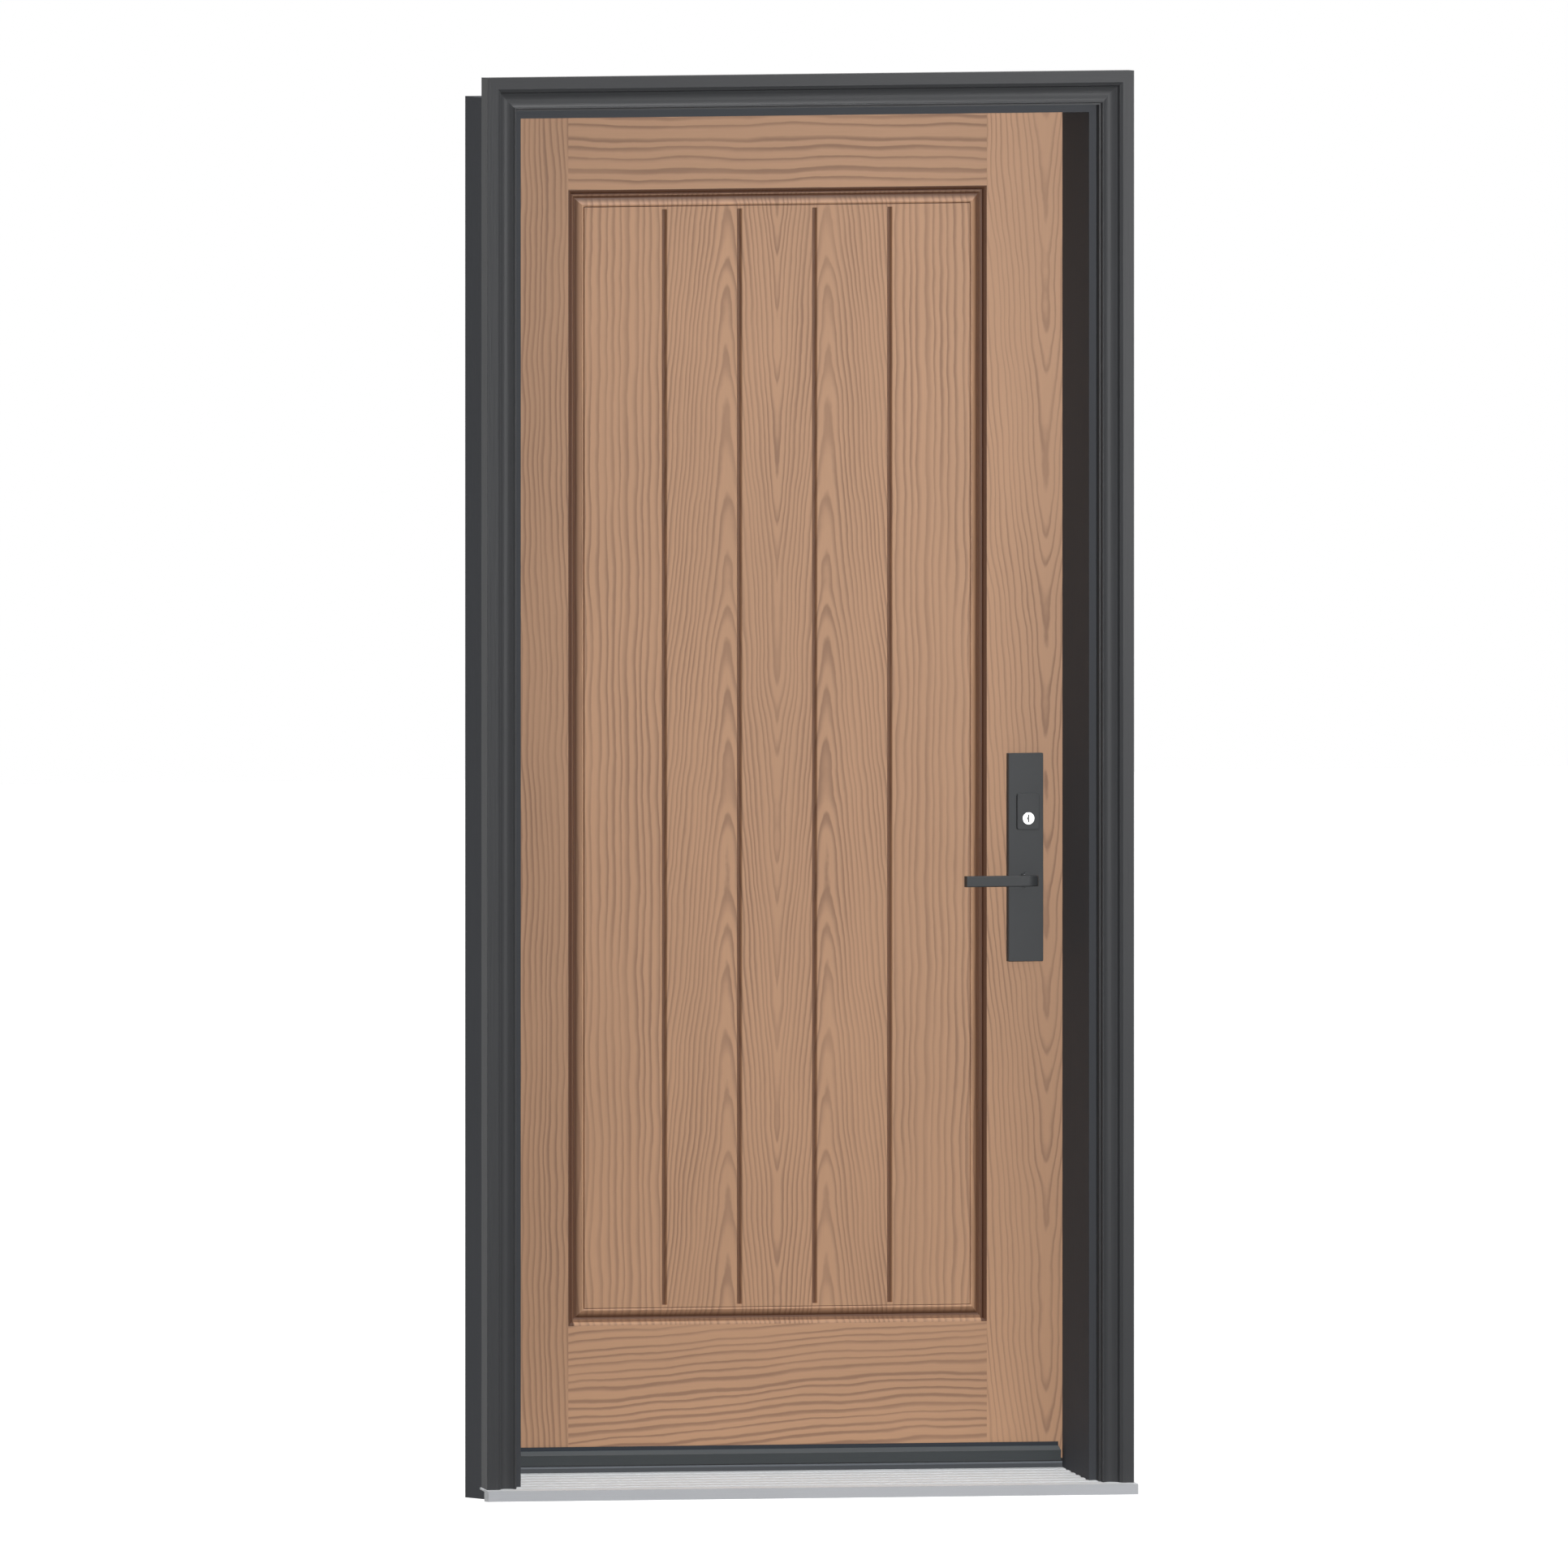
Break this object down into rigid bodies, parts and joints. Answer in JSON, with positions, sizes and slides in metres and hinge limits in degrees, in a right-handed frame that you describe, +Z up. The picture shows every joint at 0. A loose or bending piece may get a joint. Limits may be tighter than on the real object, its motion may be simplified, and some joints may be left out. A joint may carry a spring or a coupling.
{
  "type": "entrance door",
  "caption": "Inswing entrance door: stained plank-panel slab on butt hinges in a dark rebated frame with brickmould, fluted sill, drip cap, lever handle plates and key cylinder.",
  "frame": {"origin": "on the sill's underside, at mid-width, in the plane where the back of the brickmould meets the outer edge of the jambs", "axes": "+Z up, +X to the lock side, +Y into the building, so -Y is the weather side"},
  "size_m": [1.0164, 0.2641, 2.1023],
  "materials": {
    "stained_wood": "satin stain",
    "frame_paint": "satin paint",
    "mill_aluminium": "mill",
    "dark_composite": "matt",
    "seal_rubber": "matt",
    "dark_hardware": "satin",
    "satin_steel": "satin"
  },
  "bodies": {
    "frame": {"hinge_jamb": "frame_paint", "strike_jamb": "frame_paint", "head_jamb": "frame_paint", "brickmould_hinge_side": "frame_paint", "brickmould_strike_side": "frame_paint", "brickmould_head": "frame_paint", "sill_tread": "mill_aluminium", "sill_base": "dark_composite", "sill_riser": "dark_composite", "weatherstrip_hinge_side": "seal_rubber", "weatherstrip_strike_side": "seal_rubber", "weatherstrip_head": "seal_rubber", "strike_plate": "satin_steel", "hinge_pins": "satin_steel", "frame_hinge_leaf_top": "satin_steel", "frame_hinge_leaf_middle": "satin_steel", "frame_hinge_leaf_bottom": "satin_steel"},
    "door": {"hinge_stile": "stained_wood", "lock_stile": "stained_wood", "top_rail": "stained_wood", "bottom_rail": "stained_wood", "plank_panel": "stained_wood", "drip_cap": "dark_composite", "door_sweep": "seal_rubber", "door_hinge_leaf_top": "satin_steel", "door_hinge_leaf_middle": "satin_steel", "door_hinge_leaf_bottom": "satin_steel", "outside_handle_plate": "dark_hardware", "inside_handle_plate": "dark_hardware", "cylinder_housing": "dark_hardware", "lock_faceplate": "satin_steel", "lock_bolts": "satin_steel", "outside_moulding_hinge_side": "stained_wood", "outside_moulding_lock_side": "stained_wood", "outside_moulding_bottom": "stained_wood", "outside_moulding_top": "stained_wood", "inside_moulding_hinge_side": "stained_wood", "inside_moulding_lock_side": "stained_wood", "inside_moulding_bottom": "stained_wood", "inside_moulding_top": "stained_wood"},
    "lever": {"outside_lever": "dark_hardware", "inside_lever": "dark_hardware"},
    "lock_cylinder": {"key_plug": "satin_steel", "thumbturn": "dark_hardware"}
  },
  "joints": [
    {"name": "door_swing", "type": "hinge", "parent": "frame", "child": "door", "pos_m": [-0.455, 0.17375, 0.05], "axis": [0, 0, 1], "range_deg": [0, 110]},
    {"name": "lever_turn", "type": "hinge", "parent": "door", "child": "lever", "pos_m": [0.385, 0.1, 0.9039], "axis": [0, -1, 0], "range_deg": [0, 45], "stiffness_Nm_per_rad": 2, "springref_deg": -22.92},
    {"name": "key_turn", "type": "hinge", "parent": "door", "child": "lock_cylinder", "pos_m": [0.387, 0.1, 0.995], "axis": [0, 1, 0], "range_deg": [0, 90]}
  ]
}
